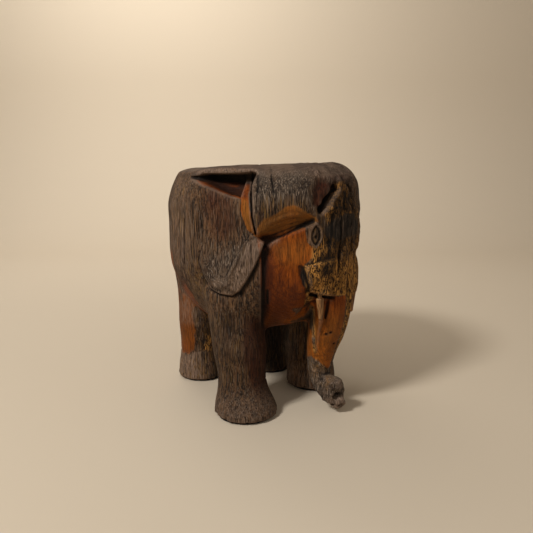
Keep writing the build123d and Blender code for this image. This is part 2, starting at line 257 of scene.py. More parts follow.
# Lines on the right side: distance round the log from the middle of the face, and height.
EAR = [
    (286, 392), (283, 377), (263, 354), (251, 327), (256, 298), (263, 261), (252, 233), (234, 221),
    (215, 215), (195, 213), (182, 220), (170, 236), (154, 263), (138, 300), (152, 308), (158, 339),
    (162, 401), (222, 404),
]
LOBE_EDGE = EAR[5:14]
FLAP_FOLD = [(158, 306), (166, 297), (178, 271), (190, 251), (207, 229)]
FLAP = [
    (138, 301), (154, 263), (170, 236), (184, 219), (207, 229), (190, 251), (178, 271), (166, 299),
    (152, 308),
]
EAR_BACK = [(283, 379), (263, 354), (252, 327), (255, 298)]
EAR_NOTCH = [(256, 284), (263, 262), (258, 246)]
EAR_MIDDLE = [(262, 385), (190, 372), (180, 330), (192, 270), (215, 240), (240, 262), (245, 320)]
LOBE_DISH = [
    (250, 335), (253, 298), (257, 262), (247, 242), (232, 229), (214, 223), (203, 228), (189, 251),
    (178, 271), (166, 300), (190, 335),
]
HOLLOW_TIP = [(301, 397), (262, 402), (176, 402), (181, 367), (201, 370), (221, 376), (241, 382), (264, 389)]
CRANIUM_CRACK = [(161, 410), (160.5, 378), (158.5, 339), (152, 308)]
CRANIUM_HEAD = [(307, 152), (339, 158.5), (400, 161)]  # height, and where the cranium's rear slope starts
CRANIUM_FOOT = [(307, 153), (321, 167), (341, 174), (366, 176), (400, 177)]  # and where it meets the ear
BROW_TOP = [(152, 318), (146, 333), (130, 345), (112, 352), (100, 356), (84, 352), (68, 343), (55, 333)]
BROW_CREASE = [(152, 307), (139, 302), (128, 302), (107, 309), (85, 319), (70, 327), (55, 332)]
EYE = (57.5, 310.0)
EYE_WIDTH = 6.3
EYE_HEIGHT = 14.5
TEMPLE_SLOT = [(12, 384), (24, 373), (36, 360), (49, 344)]
TEMPLE_SCOOP = [(16, 388), (52, 394), (66, 380), (64, 357), (50, 344), (34, 362)]
SHEATH = [
    (73, 262), (71, 252), (68, 241), (64, 231), (59, 220), (50, 215), (37, 213), (22, 210), (8, 208),
    (-4, 222), (0, 262), (24, 272), (52, 268),
]
SHEATH_CRACK = [(74, 262), (72, 252), (69, 241), (65, 231), (59, 219)]
LEFT_TEMPLE = [(-14, 248), (-14, 352), (-78, 352), (-78, 248)]
SHEATH_GAP = [(58, 215), (47, 211), (34, 208), (20, 205), (8, 204)]
TEMPLE_RIDGE = [(5, 385), (16, 372), (28, 357), (40, 341)]
LOBE_FAN = [[(178, 312), end] for end in ((248, 276), (249, 257), (240, 240), (224, 230), (208, 232))]
CHEST_CORNER = [(80, 156), (79, 168), (70, 173), (64, 181), (59, 190), (54, 199), (38, 199), (34, 156)]
FLANK_CRACK = [(304, 333), (306, 300), (309, 262), (311, 248)]
CHEST_DRIP = [(133, 226), (132, 205), (131, 196)]
LEG_EDGE = 143.0  # each foreleg's column ends here and the chest falls back from it
SLOT_SIDE = 1  # the slot at the temple is deeper, and the sheath less worn, on the right
SHEATH_BEHIND = [(79, 266), (77, 247), (71, 230), (62, 215)]
DRYING_CRACKS = [  # line, width, depth
    ([(150, 402), (149, 385), (150, 372)], 1.2, 3.0),
    ([(126, 418), (127, 396), (124, 372)], 1.2, 3.5),
    ([(8, 345), (6, 310), (9, 262), (7, 240)], 1.5, 5.0),
    ([(-18, 330), (-20, 280), (-17, 250)], 1.3, 4.0),
    ([(404, 406), (402, 350), (405, 290), (401, 262)], 1.5, 6.0),
    ([(452, 380), (450, 330), (453, 300)], 1.2, 3.5),
    ([(-300, 396), (-297, 330), (-301, 270)], 1.4, 5.0),
    ([(-396, 402), (-399, 350), (-395, 300)], 1.4, 5.0),
    ([(-470, 390), (-466, 330), (-468, 270)], 1.3, 4.0),
    ([(360, 330), (361, 290), (358, 262)], 1.2, 3.0),
]

LOBE_RELIEF = (7.5, 15)  # how far the lobe stands off what is below it, and over what distance that fades
LEG_RELIEF = (9.0, 30)  # the same for the leg in front of the chest
DISH_FILL = 7.0  # the ear's dish is filled towards the bottom of the lobe
SHEATH_RISE = 4.5  # on the right only, because the left sheath is worn


def brow_ring(share):
    """A gouge line over the brow, so much of the way from its top down to its crease."""
    below = [BROW_CREASE[i] for i in (1, 2, 3, 3, 4, 5, 6)]  # the crease's point under each of the top's
    return [(t[0] + (c[0] - t[0]) * share, t[1] + (c[1] - t[1]) * share) for t, c in zip(BROW_TOP[1:], below)]


# Marks of the gouge: kind, points, width of the stroke or of the patch's edge, depth (raised where it is
# negative) and, for some strokes, the share of their length over which each end tapers.
EAR_MARKS = [
    ("patch", FLAP, 2.0, -1.8),
    ("stroke", FLAP_FOLD, 2.2, 1.5),
    ("stroke", EAR_BACK, 2.6, 1.4),
    ("stroke", EAR_NOTCH, 2.4, 3.2),
    ("patch", EAR_MIDDLE, 22.0, 1.6),
]
BROW_MARKS = [
    ("patch", HOLLOW_TIP, 2.5, 9.0),
    ("stroke", CRANIUM_CRACK, 1.3, 7.0, 0.05),
    *(("stroke", brow_ring(share), 1.8, 1.1) for share in (0.2, 0.42, 0.62, 0.82)),
    ("stroke", BROW_CREASE, 2.6, 3.2),
]
TEMPLE_MARKS = {
    side: [
        ("patch", TEMPLE_SCOOP, 7.0, scoop),
        ("stroke", TEMPLE_SLOT, 2.9, slot),
        ("stroke", TEMPLE_RIDGE, 4.0, ridge),
        ("stroke", [(4, 372), (18, 356), (30, 338)], 2.2, 1.6),
        ("stroke", [(0, 352), (14, 340), (22, 318)], 2.0, 1.4),
        ("stroke", [(-8, 380), (-2, 362), (4, 350)], 2.4, 1.2),
    ]
    for side, scoop, slot, ridge in ((SLOT_SIDE, 4.5, 13.0, -3.0), (-SLOT_SIDE, 1.5, 3.0, -1.0))
}
SHEATH_MARKS = [
    ("stroke", SHEATH_CRACK, 1.6, 3.0, 0.05),
    ("stroke", SHEATH_BEHIND, 4.0, 3.0, 0.1),
    ("stroke", SHEATH_GAP, 2.6, 7.0, 0.1),
]
LOWER_MARKS = [*(("stroke", ray, 1.5, 0.9, 0.4) for ray in LOBE_FAN), ("patch", CHEST_CORNER, 5.0, 6.0)]
SINGLE_MARKS = [  # not repeated on the other side
    ("patch", LEFT_TEMPLE, 14.0, -3.5),
    ("stroke", FLANK_CRACK, 2.0, 7.0),
    ("stroke", CHEST_DRIP, 1.6, 3.0),
    *(("stroke", *crack) for crack in DRYING_CRACKS),
]


def eye_shape(sheet, side):
    """How far each place is from the eye's middle, as a share of its almond, and from the pupil's."""
    across, up = sheet.here[..., 0] - side * EYE[0], sheet.here[..., 1] - EYE[1]
    return np.abs(across) / EYE_WIDTH + (up / EYE_HEIGHT) ** 2, np.hypot(across, up + 2)


def carving():
    """What the gouge takes off the log's side, and leaves standing where it is negative."""
    sheet = side_sheet()
    across, up = sheet.here[..., 0], sheet.here[..., 1]
    for side, turn in ((1, list), (-1, mirrored)):
        # The lobe and the flap stand off the leg and the chest.
        off_ear = 1 - sheet.inside(turn(EAR), 1.5)
        gap, share = line_distance(sheet.here, np.array(turn(LOBE_EDGE), np.float32))
        depth, reach = LOBE_RELIEF
        sheet.value += depth * off_ear * fade(share, 0.0, 0.16) * np.exp(-gap / reach)
        inward = LEG_EDGE - side * across
        chest = fade(inward, -3, 3) * fade(side * across, 40, 120)
        chest *= fade(up, 140, 158) * fade(up, 318, 296) * off_ear
        depth, reach = LEG_RELIEF
        sheet.value += depth * chest * np.exp(-np.maximum(inward, 0) / reach)
        sheet.draw(EAR_MARKS, turn)
        sheet.value -= DISH_FILL * sheet.inside(turn(LOBE_DISH), 5.0) * fade(up, 332, 222)
        sheet.draw(BROW_MARKS + TEMPLE_MARKS[side], turn)
        if side == SLOT_SIDE:
            sheet.value -= SHEATH_RISE * sheet.inside(turn(SHEATH), 1.8) * fade(side * across, 0, 42)
            sheet.draw(SHEATH_MARKS, turn)
        sheet.draw(LOWER_MARKS, turn)
        # The eye: an upright almond, a line cut round it, and a dot for the pupil.
        almond, pupil = eye_shape(sheet, side)
        line, lid = 2.4 * bump(almond, 1.0, 0.24), 1.8 * bump(almond, 1.7, 0.35)
        sheet.value += line - lid + 3.0 * bump(pupil, 0.0, 2.6)
    sheet.draw(SINGLE_MARKS)
    return sheet


SEAT_CHECKS = [  # lines across the seat, forward and left of its middle
    ([(-20, 6), (-70, 30), (-132, 62)], 1.4, 5.0),
    ([(-8, -10), (14, -70), (24, -128)], 1.3, 4.5),
    ([(14, 4), (88, 18), (170, 24)], 1.4, 5.0),
    ([(2, 20), (30, 84), (44, 136)], 1.2, 4.0),
    ([(-34, -14), (-96, -52)], 1.2, 3.5),
    ([(30, -20), (96, -62), (126, -86)], 1.1, 3.0),
]


def seat_carving():
    """Checks that ran out from the pith as the end grain dried."""
    sheet = Sheet((-HALF_LENGTH, -HALF_WIDTH), (HALF_LENGTH, HALF_WIDTH))
    for line, width, depth in SEAT_CHECKS:
        sheet.stroke(line, width, depth, 0.3)
    return sheet


# --- Tones of the wood, with painted shade and highlights among them, drawn on the same map ---
TEMPLE_STAIN = [(50, 392), (20, 386), (44, 348), (62, 357), (64, 378)]
# Painted shade along the bottoms of the temple's slot and of the cracks.
CRACK_SHADE_MARKS = [  # kind, line, width, how dark
    ("stroke", TEMPLE_SLOT, 3.6, 1.3),
    ("stroke", FLANK_CRACK, 2.2, 1.2),
    ("stroke", SHEATH_CRACK, 2.0, 1.0),
    ("stroke", SHEATH_GAP, 3.2, 1.2),
    ("stroke", CHEST_DRIP, 2.0, 1.0),
    ("stroke", CRANIUM_CRACK, 1.8, 0.9),
    *(("stroke", line, 1.9, 0.8) for line, _, _ in DRYING_CRACKS),
]
# Each patch: outline on the right side, how strong it is, and the width of its edge.
TONES = {
    "fresh": [
        (BROW_TOP + BROW_CREASE[::-1], 0.9, 9.0),
        (
            [
                (150, 304), (139, 300), (127, 300), (107, 307), (85, 317), (74, 322), (70, 298), (58, 284),
                (74, 264), (78, 248), (72, 231), (57, 212), (30, 203), (30, 160), (143, 160), (144, 200),
                (146, 240), (146, 280),
            ],
            1.0, 4.0,
        ),
        ([(153, 310), (160, 340), (165, 362), (167, 374), (178, 374), (178, 366), (177, 341), (168, 319)],
         1.3, 2.0),
        ([(286, 394), (250, 390), (165, 388), (165, 366), (181, 366), (221, 375), (241, 381)], 1.0, 2.0),
        ([(356, 284), (344, 258), (348, 236), (380, 180), (440, 120), (440, 185), (424, 240), (396, 286)],
         0.55, 20.0),
    ],
    "bark": [
        (SHEATH, 1.0, 3.0),
        ([(52, 296), (34, 300), (4, 296), (-60, 296), (-60, 190), (6, 206), (-4, 262), (30, 272), (50, 270)],
         0.9, 12.0),
        ([(42, 340), (30, 345), (22, 300), (44, 286), (50, 300)], 0.35, 8.0),
        ([(40, 284), (4, 262), (8, 203), (34, 190), (66, 200), (74, 232)], 0.5, 6.0),
        ([(44, 344), (20, 370), (-4, 368), (6, 338), (40, 326)], 0.35, 6.0),
        ([(10, 394), (-30, 394), (-40, 340), (0, 340), (36, 342), (26, 362)], 0.34, 6.0),
    ],
    "ruddy": [
        ([(250, 380), (199, 373), (193, 325), (210, 303), (233, 302), (246, 338)], 0.7, 14.0),
        ([(143, 300), (133, 296), (122, 260), (100, 244), (70, 222), (60, 160), (143, 160)], 0.8, 14.0),
        # Painted shade: ruddy on the chest beside the foreleg's edge.
        ([(145, 300), (134, 296), (130, 240), (128, 160), (145, 160)], 0.5, 4.0),
        ([(60, 408), (-50, 408), (-60, 392), (20, 386), (56, 392)], 0.25, 10.0),
        # Painted shade: ruddy on the lower band of the ear's hollow.
        ([(286, 396), (165, 392), (165, 366), (181, 366), (231, 377)], 0.5, 4.0),
    ],
    "grey": [
        ([(156, 414), (154, 352), (130, 362), (100, 366), (80, 362), (60, 352), (64, 414)], 1.0, 12.0),
        ([(140, 300), (154, 263), (176, 228), (215, 216), (254, 236), (240, 272), (200, 290), (168, 302)],
         0.7, 16.0),
        ([(15, 376), (-40, 376), (-30, 297), (34, 296), (42, 330)], 0.7, 10.0),
        ([(60, 412), (-60, 412), (-60, 384), (20, 384)], 0.7, 8.0),
    ],
    "dark": [
        ([(12, 372), (-34, 369), (-26, 300), (30, 298), (42, 326)], 0.65, 12.0),
        ([(10, 396), (-34, 396), (-40, 350), (30, 350)], 0.3, 8.0),
        ([(128, 396), (98, 396), (102, 372), (124, 372)], 0.3, 12.0),
        ([(44, 318), (-44, 330), (-44, 266), (0, 266), (24, 276), (46, 274)], 0.4, 10.0),
        ([(90, 398), (64, 398), (66, 366), (84, 368)], 0.4, 10.0),
        # Painted shadow that the seat's rim casts into the top of the ear's hollow.
        ([(302, 404), (160, 408), (164, 386), (190, 386), (223, 386), (264, 391), (300, 395)], 0.85, 3.0),
        # Painted shade on the foreleg's column under the ear's lobe.
        ([(156, 218), (142, 230), (138, 150), (156, 150)], 0.5, 6.0),
        # Painted shade on the foreleg's side that faces the chest, away from the light.
        ([(144, 300), (138, 296), (138, 150), (144, 150)], 0.8, 2.0),
        # Painted shade on the brow's underside.
        (BROW_TOP + BROW_CREASE[::-1], 0.4, 6.0),
        ([(150, 402), (140, 402), (142, 370), (150, 372)], 0.4, 6.0),
    ],
    "ochre": [
        ([(153, 360), (130, 372), (100, 374), (74, 362), (55, 334), (85, 320), (152, 308)], 0.8, 7.0),
        ([(153, 310), (160, 340), (165, 362), (178, 366), (177, 341), (168, 319)], 0.8, 3.0),
        ([(304, 268), (270, 285), (256, 250), (244, 201), (302, 196)], 0.9, 10.0),
        ([(368, 394), (292, 394), (300, 290), (356, 290)], 0.9, 14.0),
        ([(-4, 380), (-60, 380), (-60, 290), (-24, 296)], 0.5, 14.0),
        ([(128, 296), (100, 300), (72, 306), (60, 280), (80, 262), (112, 270)], 0.4, 14.0),
    ],
    "pale": [
        (FLAP, 0.8, 2.0),
        ([(375, 400), (290, 398), (290, 250), (350, 240), (385, 280)], 0.4, 20.0),
        # Painted highlight on the ledge under the brow's crease.
        ([(138, 301), (128, 303), (112, 308), (114, 300), (130, 293)], 0.9, 4.0),
        # The seat's rim over the hollow: rubbed pale, with a painted highlight where it faces up to the
        # light.
        ([(292, 412), (150, 414), (150, 403), (284, 401)], 1.0, 3.0),
        ([(62, 412), (8, 412), (12, 396), (54, 398)], 0.5, 5.0),
        ([(398, 230), (380, 215), (425, 118), (440, 118), (436, 185)], 0.6, 10.0),
    ],
}


def tone_sheets():
    """How far the wood has each tone round the log, from 0 to 1.
    Some dark, ruddy and pale patches are painted shade or painted highlights.
    """
    sheets = {name: side_sheet() for name in TONES}
    for name, patches in TONES.items():
        for outline, amount, edge in patches:
            sheets[name].patch(outline, edge, amount)
            sheets[name].patch(mirrored(outline), edge, amount)
    sheets["ruddy"].patch(TEMPLE_STAIN, 4.0, 0.9)
    sheets["dark"].draw(CRACK_SHADE_MARKS)
    for side in (1, -1):
        almond, pupil = eye_shape(sheets["dark"], side)
        for name in ("fresh", "bark"):
            sheets[name].value *= 1 - fade(almond, 2.2, 1.8)
        # Painted shade in the eye's cut line and pupil, and less of it on the raised lid.
        sheets["dark"].value += bump(almond, 1.05, 0.2) + 1.2 * bump(pupil, 0, 3) - bump(almond, 1.8, 0.3)
        # Painted highlight on the raised lid.
        sheets["pale"].value += 0.2 * bump(almond, 1.7, 0.3)
        sheets["ochre"].value += fade(almond, 1, 0.6)
    return sheets


# --- The block of distances ---
def triples(items, name, kind=np.float32):
    """Three numbers for each vertex or triangle of a mesh."""
    values = np.empty(len(items) * 3, kind)
    items.foreach_get(name, values)
    return values.reshape(-1, 3)


class Block:
    """Signed distance to the wood's surface on a grid of points, negative inside."""

    def __init__(self, node, voxel):
        self.voxel = voxel
        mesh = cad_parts[node].data
        mesh.calc_loop_triangles()
        self.transform = openvdb.createLinearTransform(voxelSize=voxel)
        grid = openvdb.FloatGrid.createLevelSetFromPolygons(
            triples(mesh.vertices, "co") / MM,
            triangles=triples(mesh.loop_triangles, "vertices", np.int32).astype(np.uint32),
            transform=self.transform,
            halfWidth=BAND / voxel,
        )
        self.low = np.floor((np.array(LOG_LOW) - MARGIN) / voxel).astype(int)
        high = np.ceil((np.array(LOG_HIGH) + MARGIN) / voxel).astype(int)
        self.distance = np.empty(tuple(high - self.low), np.float32)
        grid.copyToArray(self.distance, ijk=tuple(int(i) for i in self.low))

    def softened(self, radius):
        """The distances blurred over a radius, which rounds edges and fills sharp corners."""
        result = self.distance
        reach = max(1, round(radius / self.voxel - 0.5))
        for axis in (0, 1, 2) * 3:  # three even blurs along each axis come close to a round one
            edges = [(reach + 1, reach) if index == axis else (0, 0) for index in range(3)]
            total = np.cumsum(np.pad(result, edges, mode="edge"), axis=axis, dtype=np.float64)
            count = result.shape[axis]
            ahead = np.take(total, range(2 * reach + 1, 2 * reach + 1 + count), axis)
            behind = np.take(total, range(count), axis)
            result = ((ahead - behind) / (2 * reach + 1)).astype(np.float32)
        return result

    def near_surface(self, reach):
        """Indices of the cells within a distance of the surface, and their places."""
        cells = np.nonzero(np.abs(self.distance) < reach)
        points = np.stack(cells, axis=1).astype(np.float32) + self.low.astype(np.float32)
        return cells, Places(points * self.voxel)

    def sample(self, field, points):
        """A field of the block's cells at points in millimetres, between the cells."""
        scaled = np.clip(points / self.voxel - self.low, 0, np.array(field.shape) - 1.001)
        corners = scaled.astype(np.int32)
        shares = (scaled - corners).astype(np.float32)
        return between_corners(field, corners.T, shares.T)

    def skin(self):
        """Points in millimetres and four-sided faces of the wood's surface, facing out."""
        grid = openvdb.FloatGrid(float(BAND))
        grid.copyFromArray(self.distance, ijk=tuple(int(i) for i in self.low))
        grid.transform = self.transform
        grid.gridClass = openvdb.GridClass.LEVEL_SET
        points, quads = grid.convertToQuads(isovalue=0.0)
        corners = points[quads[:, :3]]
        normals = np.cross(corners[:, 1] - corners[:, 0], corners[:, 2] - corners[:, 0])
        if np.einsum("ij,ij->", normals, corners[:, 0]) < 0:
            quads = quads[:, ::-1]
        return points, quads


def joined(distance, other, blend):
    """Two solids run into each other, with a fillet of about the blend's size."""
    share = np.clip(0.5 + 0.5 * (distance - other) / blend, 0, 1)
    return distance * (1 - share) + other * share - blend * share * (1 - share)


def cut(distance, tool, blend):
    """A tool's solid taken away, with rounded edges."""
    return -joined(-distance, tool, blend)


LEG_MIDDLES = {  # forward and left of the log's middle, radius, at the ankle
    "front_right": (83, -92, 46),
    "front_left": (45, 85, 44),
    "rear_right": (-114, -68, 44),
    "rear_left": (-77, 73, 44),
}
ANKLE = 58  # height of the ring cut round each leg


def carve_feet(places, distance):
    """A faint ring cut round each ankle and chips along the edge of each sole."""
    for index, (forward, left, radius) in enumerate(LEG_MIDDLES.values()):
        x, y = places.x - forward, places.y - left
        near = fade(np.hypot(x, y), radius + 22, radius + 12)
        angle = np.arctan2(y, x)
        ring = ANKLE + 2.5 * np.sin(2 * angle + index) + 1.5 * np.sin(5 * angle + 2 * index)
        faint = 0.55 + 0.45 * np.sin(angle + 1.7 * index)
        distance += 1.3 * faint * near * bump(places.z, ring, 1.7)
    chips = np.maximum(lumps(places, "chips") + 0.4 * lumps(places, "small chips") - 0.05, 0)
    distance += (4.0 * chips - 3.0) * fade(places.z, 18, 5)
    return np.maximum(distance, LOG_LOW.z - places.z)


RUMP_ANGLE = -124  # degrees from the front round to where the seat's edge is most worn
RIM_WEAR = 13
# Points on the trunk: forward, left of its middle, and height.
TIP_LOBE = [(168, -4, 51), (181, -4, 51)]
LIP = [(166, -8, 26), (178, -4, 21), (187, 2, 20)]
LIP_CHIPS = [
    [(196, 0, 16), (186, -3, 18)], [(188, -18, 12), (180, -10, 16)], [(176, -22, 14), (172, -12, 17)],
]
NOSTRIL = [(206, -11, 33), (186, -9, 33), (170, -4, 38)]
TUSK_RIDGE = [(171, 33, 166), (163, 29, 140), (156, 24, 112)]
WORMHOLES = [(177, -16, 144), (172, -21, 141), (175, -5, 123)]
WORM_WAY = (9, 0, 0)  # each hole starts inside the wood and runs out this way
TUSK_SLIT = [(180, 27, 204), (175, 25, 182), (170, 23, 160)]
TRUNK_MIDDLE = [(156, 0, 215), (156, 0, 160), (147, 0, 110), (142, 0, 70), (170, 0, 38)]


def carve_trunk(places, distance):
    """The trunk's lower lip, nostril and wrinkles, and the ridge that runs down from each tusk."""
    forward, left, z = places.forward, places.left, places.z
    # The left sheath is worn down to the bark.
    worn = fade(places.along, 5, -15) * fade(z, 140, 180) * fade(z, 300, 270)
    room = BAND * (1 - worn * fade(forward, 90, 120))
    distance = cut(distance, places.depth + room, 4)
    wide = fade(left, 4, 26) * fade(forward, 110, 140)
    distance = distance - 4.0 * wide * fade(z, 100, 130) * fade(z, 270, 225)
    distance = joined(distance, places.rod(TIP_LOBE, 13), 6)
    distance = joined(distance, places.rod(LIP, 9) - 1.8 * lumps(places, "lip"), 5)
    distance = cut(distance, places.rod(NOSTRIL, 8, 2), 2)
    for chip in LIP_CHIPS:
        distance = cut(distance, places.rod(chip, 3.2), 2)
    for side in (1, -1):
        ridge, slit = ([(x, side * y, height) for x, y, height in line] for line in (TUSK_RIDGE, TUSK_SLIT))
        distance = joined(distance, places.rod(ridge, 5.5, 3), 6)
        distance = cut(distance, places.rod(slit, 3.4, 2.4), 1.5)
    for middle in WORMHOLES:
        distance = cut(distance, places.rod([middle, np.add(middle, WORM_WAY)], 1.5), 0.8)
    wrinkles = np.sin((z + 5 * lumps(places, "wrinkles")) * 0.62)
    return distance + 0.5 * wrinkles * fade(forward, 120, 150) * fade(z, 125, 80)


def carve_cranium(places, distance):
    """The cranium's rear is cut back in a slope that drops to the ear."""
    for side in (1, -1):
        head, foot = (np.interp(places.z, *zip(*line)) for line in (CRANIUM_HEAD, CRANIUM_FOOT))
        share = (side * places.along - head) / np.maximum(foot - head, 4)
        ramp = np.interp(share, [-0.5, 0, 1, 1.25], [-6, 0, 12.5, -6])
        within = fade(places.z, 306, 316) * fade(places.z, 404, 399)
        distance = np.maximum(distance, np.where(within > 0.5, 0.75 * (ramp - places.depth), -BAND))
    return distance


def carve_rim(places, distance):
    """The seat's edge is worn rounder over the rump."""
    angle = np.degrees(np.arctan2(places.y, places.x))
    rear = bump(np.abs((angle - RUMP_ANGLE + 180) % 360 - 180), 0, 75)
    outer = fade(places.share, 0.6, 1.0)
    return distance + RIM_WEAR * rear * outer * outer * fade(places.z, 345, 405)


def carve_tail(places, distance):
    """Hair of the tail's tuft, and a groove to each side of the tail."""
    behind = fade(places.x, -100, -130)
    tuft = bump(places.y, 0, 13) * behind * bump(places.z, 178, 22)
    beside = bump(np.abs(places.y), 13, 3.5) * (behind * fade(places.z, 180, 200) * fade(places.z, 336, 310))
    return distance + 1.0 * tuft * np.sin(places.y * 1.9 + places.z * 0.05) + 4.0 * beside


def carve(block, tones):
    """All the carving on the block."""
    crisp, round_off = block.softened(2.2), block.softened(8.0)
    cells, places = block.near_surface(BAND - 3)
    # The legs run into the belly with a wide fillet.
    belly = fade(places.z, 112, 140) * fade(places.z, 212, 192)
    belly *= 1 - fade(places.forward, 120, 140) * fade(np.abs(places.left), 75, 60)
    distance = crisp[cells] * (1 - belly) + round_off[cells] * belly
    outside = fade(places.share, 0.62, 0.8)
    top = fade(places.z, SEAT_HEIGHT - 26, SEAT_HEIGHT - 14)
    distance = carve_cranium(places, distance)
    distance = distance + carving().at(places.along, places.z) * outside * (1 - 0.7 * top)
    distance += seat_carving().at(places.x, places.y) * top
    for carve_part in (carve_trunk, carve_rim, carve_tail, carve_feet):
        distance = carve_part(places, distance)

    # The hand's unevenness, the grain that weather raised, and rough bark-like places.
    cut_fresh, bark, dark = (
        np.clip(tones[name].at(places.along, places.z), 0, 1) * outside for name in ("fresh", "bark", "dark")
    )
    distance += 1.8 * lumps(places, "hand") + 1.0 * lumps(places, "gouge")
    distance += (0.3 - 0.15 * cut_fresh) * lumps(places, "grain") * (1 - top)
    distance += (1.3 * bark + 1.0 * dark) * lumps(places, "bark")
    temple = fade(np.abs(places.along), 75, 50) * fade(places.z, 315, 345) * outside
    distance += 2.2 * temple * lumps(places, "temple")
    block.distance[cells] = distance


# --- Mesh ---
def mesh_from(name, points, quads):
    mesh = bpy.data.meshes.new(name)
    mesh.vertices.add(len(points))
    mesh.vertices.foreach_set("co", (points * MM).astype(np.float32).ravel())
    mesh.loops.add(quads.size)
    mesh.loops.foreach_set("vertex_index", quads.astype(np.int32).ravel())
    mesh.polygons.add(len(quads))
    mesh.polygons.foreach_set("loop_start", np.arange(0, quads.size, 4, dtype=np.int32))
    mesh.update(calc_edges=True)
    return mesh


def add_object(name, data):
    added = bpy.data.objects.new(name, data)
    bpy.context.scene.collection.objects.link(added)
    return added


def thinned(piece, triangles):
    """The piece's mesh with flat stretches thinned to a number of triangles."""
    piece.data.calc_loop_triangles()
    share = triangles / len(piece.data.loop_triangles)
    if share < 1:
        modifier = piece.modifiers.new("thin", "DECIMATE")
        modifier.ratio = share
        graph = bpy.context.evaluated_depsgraph_get()
        mesh = bpy.data.meshes.new_from_object(piece.evaluated_get(graph))
        piece.modifiers.remove(modifier)
        old = piece.data
        piece.data = mesh
        bpy.data.meshes.remove(old)
        mesh.name = piece.name
    piece.data.validate()  # drops faces that thinning folded onto each other
    piece.data.shade_smooth()


def store(mesh, name, values):
    attribute = mesh.attributes.new(name, "FLOAT", "POINT")
    attribute.data.foreach_set("value", np.clip(values, 0, 1).astype(np.float32))


class Tones(dict):
    """How far each place of the surface has each tone."""

    def at_least(self, name, amount):
        """Raises a tone to an amount where it is less."""
        self[name] = np.maximum(self[name], amount)

    def take_off(self, names, amount):
        """Takes tones away, all of them where the amount is 1."""
        for name in names:
            self[name] *= 1 - amount


def leg_tones(tones, places, normals):
    """Ochre legs, the near foreleg red within, and the rear ones orange with bark beside and pale feet.
    Faces turned from the light get painted shade.
    """
    z = places.z
    legs = fade(z, 205, 150)
    tones.at_least("ochre", 0.45 * legs * fade(z, 20, 90))
    for name, (forward, left, radius) in LEG_MIDDLES.items():
        near = legs * fade(np.hypot(places.x - forward, places.y - left), radius + 26, radius + 14)
        side = np.sign(-left)
        inward = normals @ np.array((0.55, 0.83 * side, 0), np.float32)
        if name == "front_right":
            tones.at_least("dark", 0.34 * near)
            # Reddish on the faces turned in from the light: partly the leg's red heartwood, partly painted
            # shade.
            tones.at_least("ruddy", 0.9 * near * fade(inward, 0.1, 0.5) * fade(z, 25, 75))
        if name.startswith("front"):
            tones.take_off(["fresh"], near * fade(z, 165, 150))
            tones.at_least("pale", 0.45 * near * fade(z, 60, 20))
        else:
            shin = fade(z + 7 * lumps(places, "ankle"), 50, 66)
            outward = fade(inward, 0.0, -0.35)
            tones.take_off(["fresh"], near)
            # Painted shade on the faces turned in from the light.
            tones.at_least("dark", 0.9 * near * fade(inward, 0.3, 0.8))
            tones.at_least("fresh", 0.85 * near * shin * outward)
            tones.at_least("ruddy", 0.5 * near * shin * outward)
            if side > 0:
                tones.at_least("bark", 0.5 * near * shin * fade(inward, -0.1, 0.4))
            else:
                # Painted shade on the far rear leg's faces that turn to the front and right.
                tones.at_least("dark", 0.6 * near * fade(inward, -0.5, 0.1))
            tones.at_least("pale", 0.95 * near * (1 - shin) * fade(inward, 0.6, -0.2))
            tones.at_least("ochre", 0.9 * near * (1 - shin))


def trunk_tones(tones, places):
    """Orange down the trunk's right front, bark round it and a grey tip. Gives where the trunk is."""
    forward, left, z = places.forward, places.left, places.z
    gap, _ = places.distance_to(TRUNK_MIDDLE)
    trunk = fade(gap, 48, 40) * fade(forward, 100, 125) * fade(z, 212, 204)
    bare = fade(left, 8, -2) * fade(z + 0.9 * left, 64, 86)
    tip = fade(z, 118, 76)
    tones["fresh"] = np.maximum(tones["fresh"] * (1 - trunk), trunk * bare)
    tones.take_off(["ruddy"], trunk)
    tones["bark"] = np.maximum(tones["bark"] * (1 - trunk), (0.85 - 0.65 * tip) * trunk * (1 - bare))
    strip = bump(forward, 151, 6) * fade(left, -16, -22) * fade(z, 95, 110) * fade(z, 196, 186)
    tones.take_off(["fresh"], strip)
    tones.at_least("bark", 0.4 * strip)
    tones.at_least("grey", np.maximum(0.8 * strip, trunk * tip))
    # Painted shade inside the wormholes.
    for middle in WORMHOLES:
        tones.at_least("dark", 1.3 * bump(places.rod([middle, np.add(middle, (1, 0, 0))], 0), 0, 2.6))
    tones.at_least("pale", 0.8 * trunk * fade(z, 34, 26) * fade(forward, 165, 175))
    return trunk


def chest_shade_share(places):
    """How far painted shade covers the chest where it runs back to the far leg."""
    web = fade(places.left, -22, -27) * fade(places.left, -86, -76)
    web *= fade(places.forward, 100, 112) * fade(places.forward, 153, 146)
    web *= fade(163 + 1.1 * (places.forward - 130) - places.z, -4, 4) * fade(places.z, 140, 150)
    return web


